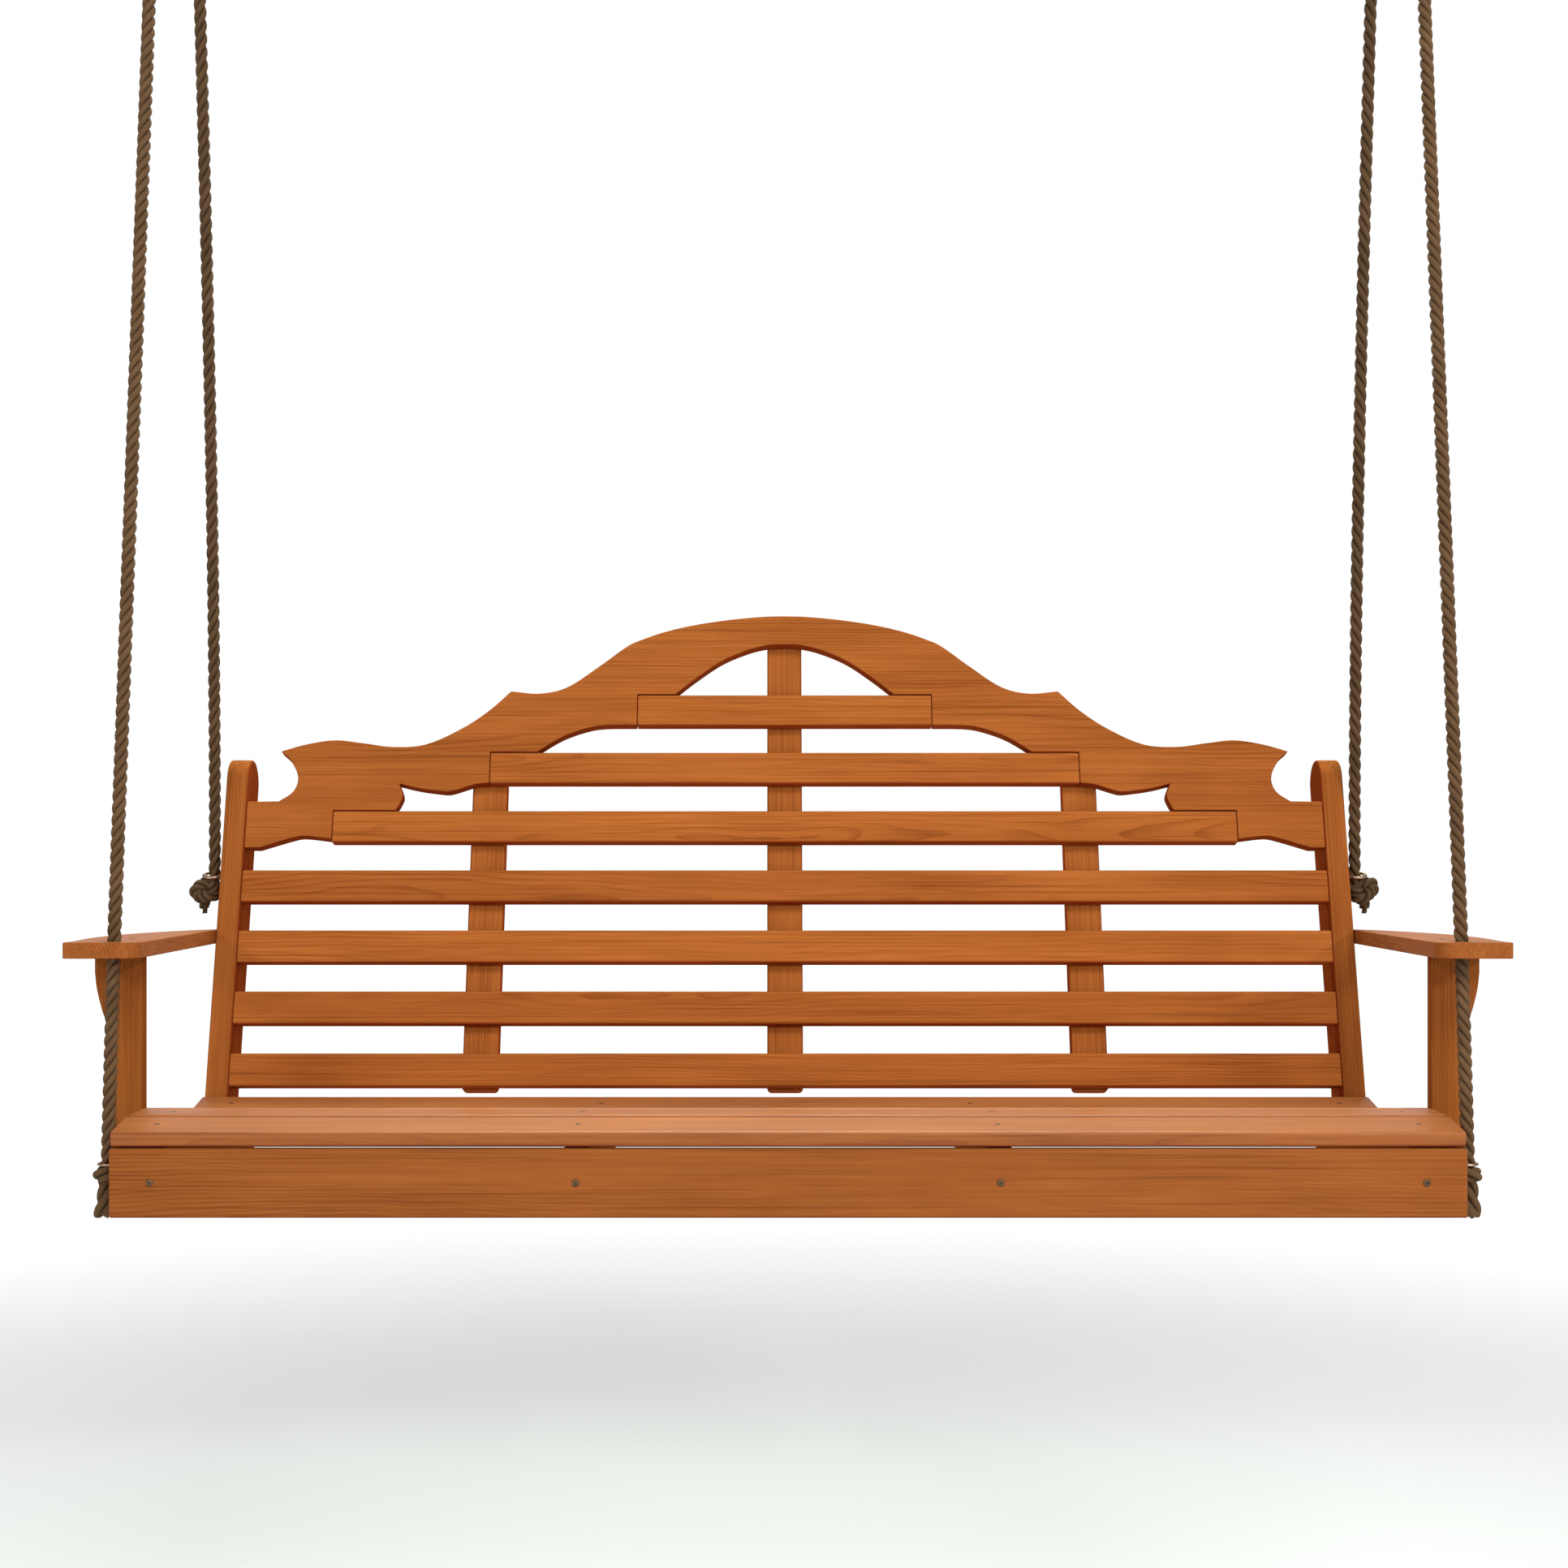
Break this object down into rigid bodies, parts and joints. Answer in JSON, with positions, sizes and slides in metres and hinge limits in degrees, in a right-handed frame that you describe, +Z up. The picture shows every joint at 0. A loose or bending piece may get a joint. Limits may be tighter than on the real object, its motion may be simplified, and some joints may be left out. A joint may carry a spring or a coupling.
{
  "type": "porch swing seat",
  "caption": "Slatted wooden porch swing bench with a scalloped headboard and shaped arms, hung on taut ropes that run from ceiling hooks to screw eyes in its frame.",
  "frame": {"origin": "middle of the ceiling plane that the four hook plates are screwed to, above the seat's centre of gravity", "axes": "+X along the bench to the sitter's left, which is the viewer's right; +Y from the front rail to the back; +Z up"},
  "size_m": [1.6788, 0.6387, 1.744],
  "materials": {
    "stained_cedar": "satin orange-brown stain over fine straight grain",
    "rope": "matt laid fibre, three strands",
    "eye_zinc": "zinc plated wire",
    "screw_steel": "dulled plated screw heads",
    "hook_steel": "black powder coat"
  },
  "bodies": {
    "ceiling": {"front_hook_left": "hook_steel", "front_hook_right": "hook_steel", "rear_hook_left": "hook_steel", "rear_hook_right": "hook_steel"},
    "front_ropes": {"front_rope_left": "rope", "front_rope_right": "rope", "front_loop_left": "rope", "front_loop_right": "rope"},
    "seat": {"front_rail": "stained_cedar", "headboard": "stained_cedar", "seat_support_left_inner": "stained_cedar", "seat_support_left_outer": "stained_cedar", "seat_support_right_inner": "stained_cedar", "seat_support_right_outer": "stained_cedar", "side_rail_left": "stained_cedar", "side_rail_right": "stained_cedar", "seat_slat_1": "stained_cedar", "seat_slat_2": "stained_cedar", "seat_slat_3": "stained_cedar", "seat_slat_4": "stained_cedar", "seat_slat_5": "stained_cedar", "seat_slat_6": "stained_cedar", "upright_left": "stained_cedar", "upright_right": "stained_cedar", "back_support_left": "stained_cedar", "back_support_middle": "stained_cedar", "back_support_right": "stained_cedar", "back_slat_1": "stained_cedar", "back_slat_2": "stained_cedar", "back_slat_3": "stained_cedar", "back_slat_4": "stained_cedar", "back_slat_5": "stained_cedar", "back_slat_6": "stained_cedar", "back_slat_7": "stained_cedar", "arm_left": "stained_cedar", "arm_right": "stained_cedar", "arm_post_left": "stained_cedar", "arm_post_right": "stained_cedar", "rail_screw_left_inner": "screw_steel", "rail_screw_left_outer": "screw_steel", "rail_screw_right_inner": "screw_steel", "rail_screw_right_outer": "screw_steel", "front_eye_left": "eye_zinc", "front_eye_right": "eye_zinc", "rear_eye_left": "eye_zinc", "rear_eye_right": "eye_zinc", "front_tail_rope_left": "rope", "front_tail_rope_right": "rope", "front_knot_left": "rope", "front_knot_right": "rope", "rear_knot_left": "rope", "rear_knot_right": "rope"},
    "rear_ropes": {"rear_rope_left": "rope", "rear_rope_right": "rope", "rear_loop_left": "rope", "rear_loop_right": "rope"}
  },
  "joints": [
    {"name": "front_rope_swing", "type": "hinge", "parent": "ceiling", "child": "front_ropes", "pos_m": [0, -0.097, -0.06], "axis": [1, 0, 0], "range_deg": [-18, 18]},
    {"name": "seat_rock", "type": "hinge", "parent": "front_ropes", "child": "seat", "pos_m": [0, -0.2464, -1.4415], "axis": [1, 0, 0], "range_deg": [-7.5, 7.5]},
    {"name": "rear_rope_turn", "type": "hinge", "parent": "seat", "child": "rear_ropes", "pos_m": [0, 0.221, -1.3613], "axis": [1, 0, 0], "range_deg": [-8, 8]}
  ],
  "couplings": [
    {"joint": "seat_rock", "follows": "front_rope_swing", "ratio": -0.4084},
    {"joint": "rear_rope_turn", "follows": "front_rope_swing", "ratio": 0.4336}
  ]
}
